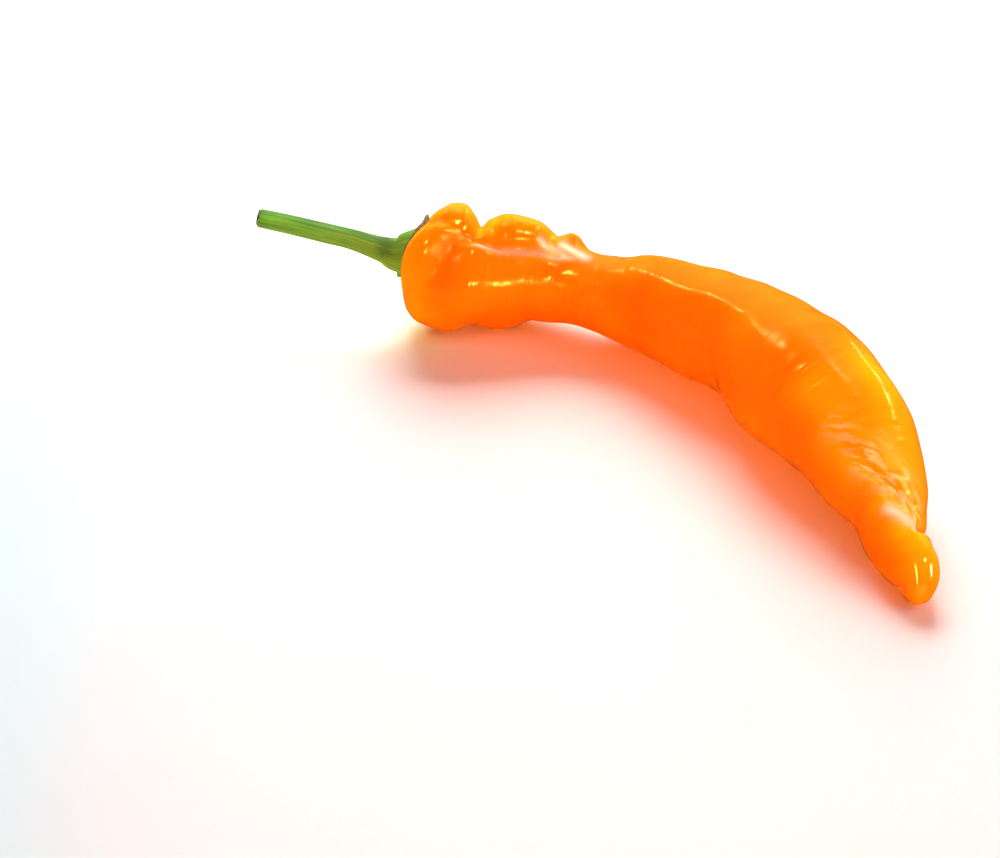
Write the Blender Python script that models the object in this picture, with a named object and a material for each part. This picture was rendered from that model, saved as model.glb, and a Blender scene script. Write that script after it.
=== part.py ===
"""Sweet pointed pepper lying on its side: the pod, the calyx seated in it and the cut stem.

The tables below are in millimetres and the Blender meshes in metres. +Z is up and the pod
rests on z = 0. +X runs from the stem end to the pointed tip.
"""

import math

import bmesh
import bpy
import numpy as np

MM = 0.001

# Axis of the pod, from the seat of the calyx to the tip:
# x, y, z of the axis, then half width and half height of the fruit across it.
POD_STATIONS = [
    (-86.0, -11.0, 24.5, 16.2, 16.2),
    (-80.5, -8.0, 21.8, 16.6, 17.2),
    (-73.5, -3.5, 19.9, 17.0, 17.8),
    (-67.0, 3.5, 18.0, 16.5, 16.8),
    (-60.0, 11.0, 17.0, 15.7, 15.8),
    (-49.0, 17.0, 15.8, 12.8, 13.6),
    (-37.5, 20.5, 15.0, 11.9, 12.0),
    (-27.0, 24.0, 14.3, 13.2, 13.2),
    (-14.5, 27.0, 15.2, 15.5, 15.5),
    (2.0, 27.0, 16.5, 17.6, 16.9),
    (23.0, 25.5, 18.0, 17.6, 18.4),
    (52.0, 14.5, 19.0, 20.7, 19.4),
    (74.0, 5.0, 16.9, 17.4, 17.2),
    (90.5, -5.0, 13.7, 14.2, 13.7),
    (100.5, -11.0, 10.4, 10.3, 10.5),
    (107.0, -17.5, 8.4, 8.9, 8.7),
    (114.0, -22.5, 7.3, 7.8, 7.5),
    (121.0, -26.0, 5.7, 5.7, 5.7),
    (123.0, -29.6, 4.2, 4.0, 4.0),
]
AXIS_SOFTENING = 5.0  # bends between the stations are averaged over this to either side
AXIS_SAMPLES = 9

# Stalk end of the pod: distance along the axis and share of the full radius there.
# It starts at the bottom of the dimple, climbs to the crest and runs over the shoulder.
SHOULDER_PROFILE = [
    (6.0, 0.0),
    (5.4, 0.18),
    (3.6, 0.40),
    (2.4, 0.58),
    (1.4, 0.68),
    (1.2, 0.75),
    (2.2, 0.85),
    (5.0, 0.94),
    (9.0, 0.985),
    (14.0, 1.0),
]
DIMPLE_SHARE = 0.62  # inside this share of the radius the dimple stays plain and round
CREST_SHARE = 0.76  # from this share on the folds and lobes have their full height
SHOULDER_LENGTH = 16.0  # the crown lobes fade out over this distance
TIP_LENGTH = 3.4  # rounded end past the last station
BODY_STEPS = 40
TIP_STEPS = 8
NOMINAL_RADIUS = 16.0  # turns shares of the radius into distances for spacing the rings
LEAST_FOLD_RADIUS = 2.0  # folds stop narrowing with the pod below this radius

# Swellings and furrows: path of (distance along the axis, angle round it in degrees),
# half width across the path, height (negative sinks in), and the lengths over which it
# fades in before the path and out after it.
# Angle 0 is the outer side of the bend, 90 is on top and 180 is the inner side.
POD_FOLDS = [
    ([(6.5, 69), (12.5, 69)], 9.0, 2.7, 7.0, 6.0),  # ball-like back lobe of the shoulder
    ([(3, 98), (11, 103)], 2.8, -1.1, 5.0, 5.0),  # furrow beside that lobe
    ([(21, 25), (21, 80), (18.5, 104)], 2.5, -3.4, 5.0, 5.0),  # saddle behind it
    ([(15.5, 112), (12.5, 128), (12, 158)], 3.6, -2.4, 4.0, 10.0),  # shoulder from body
    ([(9, 232), (15, 238)], 13.0, 4.0, 8.0, 8.0),  # low front lobe of the shoulder
    ([(31, 72), (39, 68)], 9.0, 2.2, 7.0, 7.0),  # hump on the outer side
    ([(29, 104), (39, 101)], 6.0, 2.8, 6.0, 7.0),  # face of the hump
    ([(28, 240), (36, 240)], 11.0, 2.0, 9.0, 8.0),  # low bulge facing it
    ([(49.5, 60), (50.5, 62)], 4.2, 2.8, 4.0, 4.0),  # small hump after the first
    ([(66, 88), (80, 88)], 10.0, 1.1, 7.0, 14.0),  # level back behind the humps
    ([(152, 66), (182, 64)], 12.0, 1.1, 14.0, 12.0),  # fuller outer side of the bend
    ([(18, 182), (30, 180), (46, 178)], 8.5, 3.0, 8.0, 14.0),  # fuller inner side
    ([(19, 134), (27, 134), (39, 130), (44, 129)], 3.8, 0.7, 5.0, 8.0),  # rim of that side
    ([(18, 121), (27, 127), (33, 126), (39, 122), (48, 119)], 2.2, -1.6, 4.0, 4.0),  # crease
    ([(84, 116), (112, 120), (124, 126)], 6.0, 0.8, 12.0, 12.0),  # blunt ridge along the top
    ([(140, 208), (154, 208)], 10.0, 1.2, 12.0, 12.0),  # fuller belly on the inner side
    ([(185, 40), (205, 28)], 10.0, 0.9, 20.0, 6.0),  # outer lobe that ends before the tip
    ([(194, 124), (203, 110), (213, 80), (220, 30)], 2.6, -1.4, 9.0, 3.0),  # crease round it
    ([(222.5, 60), (220.5, 30), (218.5, 5), (218.5, -8)], 2.5, -1.7, 4.0, 5.0),  # notch
    ([(226, 66), (230, 62)], 5.0, 0.8, 5.0, 6.0),  # shoulder of the pinched tip
]

# Crown lobes of the stalk end: angle, half width in degrees and how far each one reaches
# past the plain crest towards the stem.
CROWN_LOBES = [
    (150.0, 50.0, 2.8),
    (62.0, 28.0, 0.8),
    (232.0, 36.0, -1.6),
    (330.0, 50.0, 0.8),
]

POD_RINGS = 104
POD_AROUND = 58
# Share of the rings used up by each distance along the skin, so that they stand closer
# together on the shoulder and towards the tip than along the plain body.
RING_SPREAD = [(0.0, 0.0), (0.50, 76.0), (0.70, 178.0), (1.0, 261.0)]

# Sepal cup and stem share one axis: x, y, z and radius, from the cup's rim to the cut end.
STALK_STATIONS = [
    (-86.3, -11.3, 24.2, 9.7),
    (-88.3, -13.4, 23.4, 7.3),
    (-90.0, -15.6, 23.0, 5.6),
    (-92.5, -17.4, 23.9, 4.4),
    (-95.1, -19.4, 24.9, 3.8),
    (-100.4, -23.1, 26.8, 3.3),
    (-108.5, -29.3, 29.0, 3.15),
    (-117.3, -35.9, 31.2, 3.05),
    (-125.6, -42.4, 33.2, 2.95),
]
CUP_STATIONS = 4  # the first stations form the cup, the others the stem
CUP_AROUND = 36
SEPALS = 6
SEPAL_REACH = 0.45  # how far each sepal point stands out from the rim
# Underside of the cup: radius and depth below the seat plane, parallel to the dimple.
CUP_UNDERSIDE = [(9.45, 1.35), (8.6, 2.15), (6.3, 3.2), (2.9, 4.95), (1.2, 5.45)]
CUP_SQUARING = 9.0  # the cup turns from the seat plane to the stem's direction over this
CUP_RINGS = 9
SEPAL_FADE = 3.0  # the sepal points melt into the cup over this distance from the rim
RIM_RADIUS = 9.0  # rings of the underside wider than this follow the sepal points too

DIRECTION_STEP = 0.5  # the stalk's direction is taken over this to either side
STEM_GAP = 0.3
STEM_RINGS = 22
STEM_AROUND = 28
STEM_RIBS = 7
STEM_RIB_DEPTH = 0.035  # share of the radius
RIB_FADE = 6.0  # the ribs rise over this distance from the collar
CUT_CHAMFER = 0.5

MERGE_DISTANCE = 1e-6  # m
PLACE = (0.28, -0.06, 0.0)  # centres the bounding box on the origin


def spline(at, knots, values):
    """Smooth curve through the values at the knots, continued straight past both ends."""
    knots = np.asarray(knots, float)
    values = np.asarray(values, float).reshape(len(knots), -1)
    slope = np.gradient(values, knots, axis=0)
    at = np.atleast_1d(np.asarray(at, float))
    i = np.clip(np.searchsorted(knots, at, side="right") - 1, 0, len(knots) - 2)
    h = (knots[i + 1] - knots[i])[:, None]
    u = np.clip((at[:, None] - knots[i][:, None]) / h, 0.0, 1.0)
    curve = (2 * u**3 - 3 * u**2 + 1) * values[i] + (u**3 - 2 * u**2 + u) * h * slope[i]
    curve += (3 * u**2 - 2 * u**3) * values[i + 1] + (u**3 - u**2) * h * slope[i + 1]
    before = np.minimum(at - knots[0], 0.0)[:, None]
    after = np.maximum(at - knots[-1], 0.0)[:, None]
    return curve + before * slope[0] + after * slope[-1]


def smooth(x):
    """Soft step from 0 to 1."""
    x = np.clip(x, 0.0, 1.0)
    return x * x * (3.0 - 2.0 * x)


def unit(v):
    """Vectors divided by their own length."""
    return v / np.linalg.norm(v, axis=-1, keepdims=True)


def lengths(points):
    """Distance along a row of points."""
    return np.concatenate([[0.0], np.cumsum(np.linalg.norm(np.diff(points, axis=0), axis=1))])


def frames(forward):
    """Side and upward direction across each forward direction."""
    side = unit(np.cross([0.0, 0.0, 1.0], forward))
    return side, np.cross(forward, side)


def angle_off(degrees, middle):
    """Signed angle from the middle, in degrees between -180 and 180."""
    return (degrees - middle + 180.0) % 360.0 - 180.0


def pod_axis(s):
    """Centre, forward direction and half sizes of the pod at distance s along its axis.

    The curve through the stations is averaged over a short stretch, which takes the
    jumps out of its bend.
    """
    rows = np.array(POD_STATIONS)
    knots = lengths(rows[:, :3])
    offsets = np.linspace(-1.0, 1.0, AXIS_SAMPLES)
    weights = np.cos(offsets * math.pi / 2) ** 2
    mixed = np.zeros((len(s), rows.shape[1]))
    for weight, offset in zip(weights / weights.sum(), offsets):
        mixed += weight * spline(s + offset * AXIS_SOFTENING, knots, rows)
    step = AXIS_SOFTENING / 4
    ahead = np.zeros((len(s), 3))
    for offset in (-0.5, 0.0, 0.5):
        near = s + offset * AXIS_SOFTENING
        ahead += spline(near + step, knots, rows[:, :3]) - spline(near - step, knots, rows[:, :3])
    return mixed[:, :3], unit(ahead), mixed[:, 3:]


def pod_profile(rings):
    """Distance along the axis and share of the radius for each ring of the pod."""
    end = lengths(np.array(POD_STATIONS)[:, :3])[-1]
    body = [(s, 1.0) for s in np.linspace(SHOULDER_PROFILE[-1][0], end, BODY_STEPS)[1:]]
    turn = np.linspace(0.0, math.pi / 2, TIP_STEPS)[1:]
    tip = [(end + TIP_LENGTH * math.sin(a), math.cos(a)) for a in turn]
    rows = np.array(SHOULDER_PROFILE + body + tip)
    knots = lengths(rows * [1.0, NOMINAL_RADIUS])
    spread = np.array(RING_SPREAD)
    at = np.interp(np.linspace(0.0, 1.0, rings), spread[:, 0], spread[:, 1] / spread[-1, 1])
    at = at * knots[-1]
    return np.interp(at, knots, rows[:, 0]), np.clip(np.interp(at, knots, rows[:, 1]), 0.0, 1.0)


def beside_path(path, s, degrees, radius):
    """Distance along a path over the skin, distance from it, and the path's length.

    The skin is unrolled at each point's own radius. Before and after the path its first
    and last stretch go on straight.
    """
    nearest = np.full(s.shape, np.inf)
    along = np.zeros(s.shape)
    begun = 0.0
    last = len(path) - 2
    for i, ((s0, a0), (s1, a1)) in enumerate(zip(path, path[1:])):
        run = s1 - s0
        rise = np.radians(a1 - a0) * radius
        x = s - s0
        y = np.radians(angle_off(degrees, a0)) * radius
        length = np.hypot(run, rise)
        share = (x * run + y * rise) / length**2
        share = np.clip(share, 0.0 if i else -np.inf, 1.0 if i < last else np.inf)
        distance = np.hypot(x - share * run, y - share * rise)
        closer = distance < nearest
        nearest = np.where(closer, distance, nearest)
        along = np.where(closer, begun + share * length, along)
        begun = begun + length
    return along, nearest, begun


def fold_height(s, degrees, radius):
    """Sum of the swellings and furrows at each point of the pod."""
    total = np.zeros_like(degrees)
    for path, width, height, fade_in, fade_out in POD_FOLDS:
        along, across, whole = beside_path(path, s, degrees, radius)
        ends = smooth(1.0 + along / fade_in) * smooth(1.0 + (whole - along) / fade_out)
        total += height * ends * np.exp(-((across / width) ** 2))
    return total


def pod_points(rings, around):
    """Skin of the pod as a grid of points, one row for each ring."""
    s, share = pod_profile(rings)
    centre, forward, half = pod_axis(s)
    side, up = frames(forward)
    angle = np.linspace(0.0, 2 * math.pi, around, endpoint=False)[None, :]
    degrees = np.degrees(angle) + np.zeros((rings, 1))
    along = s[:, None] + np.zeros_like(degrees)
    radius = np.maximum((half.mean(axis=1) * share)[:, None], LEAST_FOLD_RADIUS)
    shown = smooth((share - DIMPLE_SHARE) / (CREST_SHARE - DIMPLE_SHARE))[:, None]
    beyond_crest = (s > SHOULDER_PROFILE[-1][0])[:, None]
    full = np.where(beyond_crest, np.sqrt(share)[:, None], shown)
    bump = fold_height(along, degrees, radius) * full
    wide = (half[:, :1] * share[:, None] + bump) * np.cos(angle)
    high = (half[:, 1:] * share[:, None] + bump) * np.sin(angle)
    lift = sum(h * np.exp(-((angle_off(degrees, a) / w) ** 2)) for a, w, h in CROWN_LOBES)
    lift = lift * shown * (1.0 - smooth(along / SHOULDER_LENGTH))
    points = centre[:, None] + side[:, None] * wide[..., None] + up[:, None] * high[..., None]
    return points - forward[:, None] * lift[..., None]


def stalk_ring(centre, forward, radius, reach, around, waves, depth):
    """Ring of points round the stalk, with `waves` ribs or points of the given depth."""
    side, up = frames(forward)
    angle = np.linspace(0.0, 2 * math.pi, around, endpoint=False)[:, None]
    size = radius * (1.0 + depth * np.cos(waves * angle)) + reach * np.cos(waves * angle)
    return centre + side * size * np.cos(angle) + up * size * np.sin(angle)


def stalk_axis():
    """Distances, centres, directions and radii along the shared axis of cup and stem."""
    rows = np.array(STALK_STATIONS)
    knots = lengths(rows[:, :3])
    seat = -pod_axis(np.array([0.0]))[1][0]
    return rows, knots, seat


def stalk_at(d):
    """Centre, direction towards the cut end and radius at distance d from the cup's rim."""
    rows, knots, seat = stalk_axis()
    centre = spline(d, knots, rows[:, :3])[0]
    before = spline(d - DIRECTION_STEP, knots, rows[:, :3])[0]
    ahead = spline(d + DIRECTION_STEP, knots, rows[:, :3])[0] - before
    turn = smooth(d / CUP_SQUARING)
    direction = unit((1.0 - turn) * seat + turn * unit(ahead))
    return centre, direction, float(spline(d, knots, rows[:, 3:])[0, 0])


def cup_points():
    """Sepal cup: from the collar round the stem over the rim and back under to the seat."""
    _, knots, seat = stalk_axis()
    top = knots[CUP_STATIONS - 1]
    rings = []
    for d in np.linspace(top, 0.0, CUP_RINGS):
        centre, direction, radius = stalk_at(float(d))
        reach = SEPAL_REACH * (1.0 - smooth(d / SEPAL_FADE))
        rings.append(stalk_ring(centre, direction, radius, reach, CUP_AROUND, SEPALS, 0.0))
    seat_centre = np.array(POD_STATIONS[0][:3])
    for radius, depth in CUP_UNDERSIDE:
        reach = SEPAL_REACH if radius > RIM_RADIUS else 0.0
        centre = seat_centre - seat * depth
        rings.append(stalk_ring(centre, seat, radius, reach, CUP_AROUND, SEPALS, 0.0))
    return np.array(rings)


def stem_points():
    """Ribbed stem from the cup's collar to the chamfered cut end."""
    _, knots, _ = stalk_axis()
    start = knots[CUP_STATIONS - 1] + STEM_GAP
    rings = []
    for d in np.linspace(start, knots[-1] - CUT_CHAMFER, STEM_RINGS):
        centre, direction, radius = stalk_at(float(d))
        ribs = STEM_RIB_DEPTH * smooth((d - start) / RIB_FADE)
        rings.append(stalk_ring(centre, direction, radius, 0.0, STEM_AROUND, STEM_RIBS, ribs))
    centre, direction, radius = stalk_at(float(knots[-1]))
    radius -= CUT_CHAMFER
    ring = stalk_ring(centre, direction, radius, 0.0, STEM_AROUND, STEM_RIBS, STEM_RIB_DEPTH)
    rings.append(ring)
    return np.array(rings)


def material(name, colour, roughness):
    """Plain Principled material."""
    made = bpy.data.materials.new(name)
    made.use_nodes = True
    shader = made.node_tree.nodes["Principled BSDF"]
    shader.inputs["Base Color"].default_value = (*colour, 1.0)
    shader.inputs["Roughness"].default_value = roughness
    return made


def closed_loft(name, rings, finish):
    """Object skinned over the rings, with both ends closed round a centre point."""
    count, around = rings.shape[:2]
    points = np.concatenate([rings.reshape(-1, 3), rings[[0, -1]].mean(axis=1)])
    points = (points + PLACE) * MM
    first, last = count * around, count * around + 1
    j = np.arange(around)
    k = (j + 1) % around
    start = (np.arange(count - 1) * around)[:, None]
    quads = np.stack([start + j, start + k, start + around + k, start + around + j], axis=-1)
    end = (count - 1) * around
    faces = quads.reshape(-1, 4).tolist()
    faces += [[first, int(b), int(a)] for a, b in zip(j, k)]
    faces += [[last, int(end + a), int(end + b)] for a, b in zip(j, k)]
    mesh = bpy.data.meshes.new(name)
    mesh.from_pydata(points.tolist(), [], faces)
    body = bmesh.new()
    body.from_mesh(mesh)
    bmesh.ops.remove_doubles(body, verts=body.verts, dist=MERGE_DISTANCE)
    bmesh.ops.recalc_face_normals(body, faces=body.faces)
    if body.calc_volume(signed=True) < 0:
        bmesh.ops.reverse_faces(body, faces=body.faces)
    body.to_mesh(mesh)
    body.free()
    for polygon in mesh.polygons:
        polygon.use_smooth = True
    mesh.materials.append(finish)
    made = bpy.data.objects.new(name, mesh)
    bpy.context.scene.collection.objects.link(made)
    return made


def build_pod():
    """Fruit wall as one closed body, pressed flat where it rests."""
    points = pod_points(POD_RINGS, POD_AROUND)
    points[..., 2] = np.maximum(points[..., 2], 0.0)
    return closed_loft("pod", points, material("pepper_skin", (0.95, 0.24, 0.01), 0.25))


def build_calyx():
    """Green sepal cup that fills the dimple."""
    return closed_loft("calyx", cup_points(), material("calyx_green", (0.08, 0.2, 0.02), 0.5))


def build_stem():
    """Cut green stem."""
    return closed_loft("stem", stem_points(), material("stem_green", (0.15, 0.32, 0.04), 0.5))


def main():
    for old in list(bpy.data.objects):
        bpy.data.objects.remove(old)
    build_pod()
    build_calyx()
    build_stem()


if __name__ == "__main__":
    main()
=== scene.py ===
"""Looks of a sweet pointed pepper lying on its side: waxy skin, green calyx and cut stem.

The tables are in millimetres and the meshes in metres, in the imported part's own frame:
+Z is up, +X runs from the stem end to the pointed tip and the fruit rests on z = 0.
"""

import logging
import math
from dataclasses import dataclass
from enum import Enum
from typing import Any, Mapping, Sequence

import bpy
import numpy as np
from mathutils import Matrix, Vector


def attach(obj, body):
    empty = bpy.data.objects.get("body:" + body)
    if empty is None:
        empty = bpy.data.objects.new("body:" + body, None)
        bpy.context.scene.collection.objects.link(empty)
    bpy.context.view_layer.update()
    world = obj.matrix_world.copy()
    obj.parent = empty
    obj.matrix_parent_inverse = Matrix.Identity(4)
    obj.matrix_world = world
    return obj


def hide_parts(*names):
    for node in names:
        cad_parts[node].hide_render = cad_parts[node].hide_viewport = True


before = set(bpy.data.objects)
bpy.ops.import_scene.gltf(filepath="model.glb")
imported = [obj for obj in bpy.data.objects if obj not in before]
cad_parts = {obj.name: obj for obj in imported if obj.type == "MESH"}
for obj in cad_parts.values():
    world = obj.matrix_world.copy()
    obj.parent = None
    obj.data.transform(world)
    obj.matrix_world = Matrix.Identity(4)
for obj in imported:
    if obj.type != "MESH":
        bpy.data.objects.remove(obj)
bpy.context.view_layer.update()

MM = 0.001
BODY = "root"
PLACE = np.array([0.28, -0.06, 0.0])  # mm, moves the tables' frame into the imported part's
# a Mix node's sockets by number, because its names come more than once
NUMBER_A, NUMBER_B, COLOUR_A, COLOUR_B, COLOUR = 2, 3, 6, 7, 2

log = logging.getLogger("sweet_pepper")

Array = np.ndarray
Socket = bpy.types.NodeSocket
Tree = bpy.types.NodeTree


# ---- Curves and grids ----


def smooth(x: Array | float) -> Array:
    """Soft step from 0 to 1: three x squared less two x cubed."""
    x = np.clip(x, 0.0, 1.0)
    return x * x * (3.0 - 2.0 * x)


def beyond(x: Array, edge: float) -> Array:
    """Soft step from 0 at an edge to 1 at 1."""
    return smooth((x - edge) / (1.0 - edge))


def unit(v: Array) -> Array:
    """Vectors divided by their own length."""
    return v / np.linalg.norm(v, axis=-1, keepdims=True)


def lengths(points: Array) -> Array:
    """Distance along a row of points, starting at 0."""
    steps = np.linalg.norm(np.diff(points, axis=0), axis=1)
    return np.concatenate([[0.0], np.cumsum(steps)])


def spline(at: Array | float, knots: Array, values: Array) -> Array:
    """Smooth curve through values, straight past both ends.

    Between two knots it is the cubic with the mean slopes of the neighbouring
    stretches at its ends.

    Args:
        at: places along the knots.
        knots: rising places of the values.
        values: one row for each knot.

    Returns:
        One row for each place.
    """
    knots = np.asarray(knots, float)
    values = np.asarray(values, float).reshape(len(knots), -1)
    slope = np.gradient(values, knots, axis=0)
    at = np.atleast_1d(np.asarray(at, float))
    i = np.clip(np.searchsorted(knots, at, side="right") - 1, 0, len(knots) - 2)
    h = (knots[i + 1] - knots[i])[:, None]
    u = np.clip((at[:, None] - knots[i][:, None]) / h, 0.0, 1.0)
    curve = (2 * u**3 - 3 * u**2 + 1) * values[i] + (u**3 - 2 * u**2 + u) * h * slope[i]
    curve += (3 * u**2 - 2 * u**3) * values[i + 1] + (u**3 - u**2) * h * slope[i + 1]
    before = np.minimum(at - knots[0], 0.0)[:, None]
    after = np.maximum(at - knots[-1], 0.0)[:, None]
    return curve + before * slope[0] + after * slope[-1]


def ring_angles(around: int) -> Array:
    """Even angles round a ring, in radians."""
    return np.linspace(0.0, 2 * math.pi, around, endpoint=False)


def bell(x: Array) -> Array:
    """Bell curve: 1 at the middle and e to the minus x squared beside it."""
    return np.exp(-(x**2))


def frames(forward: Array) -> tuple[Array, Array]:
    """Side and upward directions across each forward direction."""
    side = unit(np.cross([0.0, 0.0, 1.0], forward))
    return side, np.cross(forward, side)


def unrolled(along: Array, angle: Array, radius: float) -> Array:
    """Skin coordinates in m: distance along a tube, then a ring's point at one fixed radius."""
    parts = np.broadcast_arrays(along, radius * np.cos(angle), radius * np.sin(angle))
    return np.stack(parts, axis=-1) * MM


def angle_off(degrees: Array, middle: Array | float) -> Array:
    """Signed angle from the middle, in degrees between -180 and 180."""
    return (degrees - middle + 180.0) % 360.0 - 180.0


@dataclass(frozen=True)
class Waves:
    """Sum of cosine waves that closes round a ring, for dents and ripples of the skin.

    Each wave has a whole number of crests round the ring and a wavelength along
    the axis, so the pattern has no seam.
    """

    depth: float  # mm, about the largest height
    shortest: float  # mm along the axis
    longest: float
    most_round: int  # most crests round the ring
    count: int
    seed: int

    def height(self, s: Array, degrees: Array) -> Array:
        """Height of the pattern.

        Args:
            s: distance along the axis in mm.
            degrees: angle round it.

        Returns:
            Height in mm at each place.
        """
        draw = np.random.default_rng(self.seed)
        total = np.zeros(np.broadcast(s, degrees).shape)
        for _ in range(self.count):
            wavelength = self.shortest * (self.longest / self.shortest) ** draw.random()
            crests = draw.integers(-self.most_round, self.most_round + 1)
            phase = draw.uniform(0.0, 2 * math.pi)
            total += np.cos(2 * math.pi * s / wavelength + crests * np.radians(degrees) + phase)
        return self.depth * total / math.sqrt(2.0 * self.count)


# ---- Meshes ----


def closed_grid(name: str, rings: Array, fields: Mapping[str, Array]) -> bpy.types.Object:
    """Closed smooth mesh skinned over rings of points, with a centre point at each end.

    Args:
        name: object's name.
        rings: points in mm, ring by ring, all rings running the same way round.
        fields: attribute name to one value or one vector for each point of the rings.

    Returns:
        The object, at the origin, with its place in its mesh and its faces outwards.
    """
    count, around = rings.shape[:2]
    ends = rings[[0, -1]].mean(axis=1)
    points = (np.concatenate([rings.reshape(-1, 3), ends]) + PLACE) * MM
    first, last = count * around, count * around + 1
    j = np.arange(around)
    k = (j + 1) % around
    start = (np.arange(count - 1) * around)[:, None]
    quads = np.stack([start + j, start + around + j, start + around + k, start + k], axis=-1)
    end = (count - 1) * around
    faces = quads.reshape(-1, 4).tolist()
    faces += np.stack([np.full(around, first), j, k], axis=-1).tolist()
    faces += np.stack([np.full(around, last), end + k, end + j], axis=-1).tolist()
    if signed_volume(points, faces) < 0.0:
        faces = [face[::-1] for face in faces]
    mesh = bpy.data.meshes.new(name)
    mesh.from_pydata(points.tolist(), [], faces)
    for field_name, values in fields.items():
        add_field(mesh, field_name, values.reshape(count * around, -1), around)
    mesh.shade_smooth()
    made = bpy.data.objects.new(name, mesh)
    bpy.context.scene.collection.objects.link(made)
    return made


def signed_volume(points: Array, faces: Sequence[Sequence[int]]) -> float:
    """Volume inside the faces, negative where they point inwards.

    Each face adds the volume of the fan of tetrahedra from the origin to it.

    Args:
        points: places of the points.
        faces: numbers of each face's points.

    Returns:
        The volume.
    """
    triangles = [(f[0], f[i], f[i + 1]) for f in faces for i in range(1, len(f) - 1)]
    a, b, c = points[np.array(triangles)].transpose(1, 0, 2)
    return float(np.einsum("ij,ij->", a, np.cross(b, c)) / 6.0)


def add_field(mesh: bpy.types.Mesh, name: str, values: Array, around: int) -> None:
    """Stores a number or a vector at each point, with the end rings' means at the two poles.

    Args:
        mesh: mesh made by closed_grid.
        name: attribute's name.
        values: one row of 1 or 3 numbers for each point of the rings.
        around: points in a ring.
    """
    poles = [values[:around].mean(axis=0), values[-around:].mean(axis=0)]
    values = np.concatenate([values, poles])
    if values.shape[1] == 1:
        kind, key = "FLOAT", "value"
    else:
        kind, key = "FLOAT_VECTOR", "vector"
    mesh.attributes.new(name, kind, "POINT").data.foreach_set(key, values.ravel())


def dress(piece: bpy.types.Object, finish: bpy.types.Material) -> None:
    """Gives a piece its material and the body it rides on.

    Args:
        piece: the finished piece.
        finish: its material.
    """
    piece.data.materials.append(finish)
    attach(piece, BODY)
    log.info("%s: %d faces", piece.name, len(piece.data.polygons))


# ---- Finishes ----


def linear(colour: str) -> tuple[float, float, float, float]:
    """Linear colour from sRGB: a straight line near black and a power of 2.4 above it.

    Args:
        colour: hex colour such as "#ff8800".

    Returns:
        Red, green, blue and an alpha of 1.
    """
    parts = np.array([int(colour[i : i + 2], 16) for i in (1, 3, 5)]) / 255.0
    parts = np.where(parts <= 0.04045, parts / 12.92, ((parts + 0.055) / 1.055) ** 2.4)
    return (*map(float, parts), 1.0)


def add(
    tree: Tree,
    kind: str,
    settings: Mapping[str | int, Any] | None = None,
    links: Mapping[str | int, Socket] | None = None,
    out: str | int = 0,
    **properties: Any,
) -> Socket:
    """Adds a node with its values and links.

    Args:
        tree: node tree to add to.
        kind: node type, without the ShaderNode in front.
        settings: input name or number to plain value.
        links: input name or number to the output that feeds it.
        out: name or number of the output that is wanted.
        properties: the node's own options.

    Returns:
        That output.
    """
    made = tree.nodes.new("ShaderNode" + kind)
    for key, value in properties.items():
        setattr(made, key, value)
    for key, value in (settings or {}).items():
        made.inputs[key].default_value = value
    for key, source in (links or {}).items():
        tree.links.new(source, made.inputs[key])
    return made.outputs[out]


def per(size: float) -> float:
    """Pattern scale for a real size in mm."""
    return 1.0 / (size * MM)


@dataclass(frozen=True)
class Finish:
    """Start of every material: a Principled shader on a surface that grew or was made."""

    name: str

    def build(self) -> bpy.types.Material:
        """Makes the material from its constants and its patterns.

        Returns:
            The material, with what is the same all over on the shader's own sockets.
        """
        made = bpy.data.materials.new(self.name)
        made.use_nodes = True
        inputs = made.node_tree.nodes["Principled BSDF"].inputs
        for socket, value in self.constants().items():
            inputs[socket].default_value = value
        for socket, source in self.patterns(made.node_tree).items():
            made.node_tree.links.new(source, inputs[socket])
        return made

    def constants(self) -> dict[str, Any]:
        """Shader sockets that are the same all over."""
        raise NotImplementedError

    def patterns(self, tree: Tree) -> dict[str, Socket]:
        """What varies over the surface.

        Args:
            tree: material's node tree.

        Returns:
            Shader socket to the output that feeds it.
        """
        raise NotImplementedError


class Tint(Enum):
    """Colour, painted sheen and painted shade, wear or lack of rings that varies over the skin,
    named as its attribute.
    """

    GOLDEN = "golden"
    PAINTED_SHADE = "painted_shade"
    BLOOM = "bloom_and_sheen"
    FEATHER = "feather_and_sheen"
    SCAR = "scar"
    DULL = "dull"
    SLEEK = "sleek"


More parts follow.
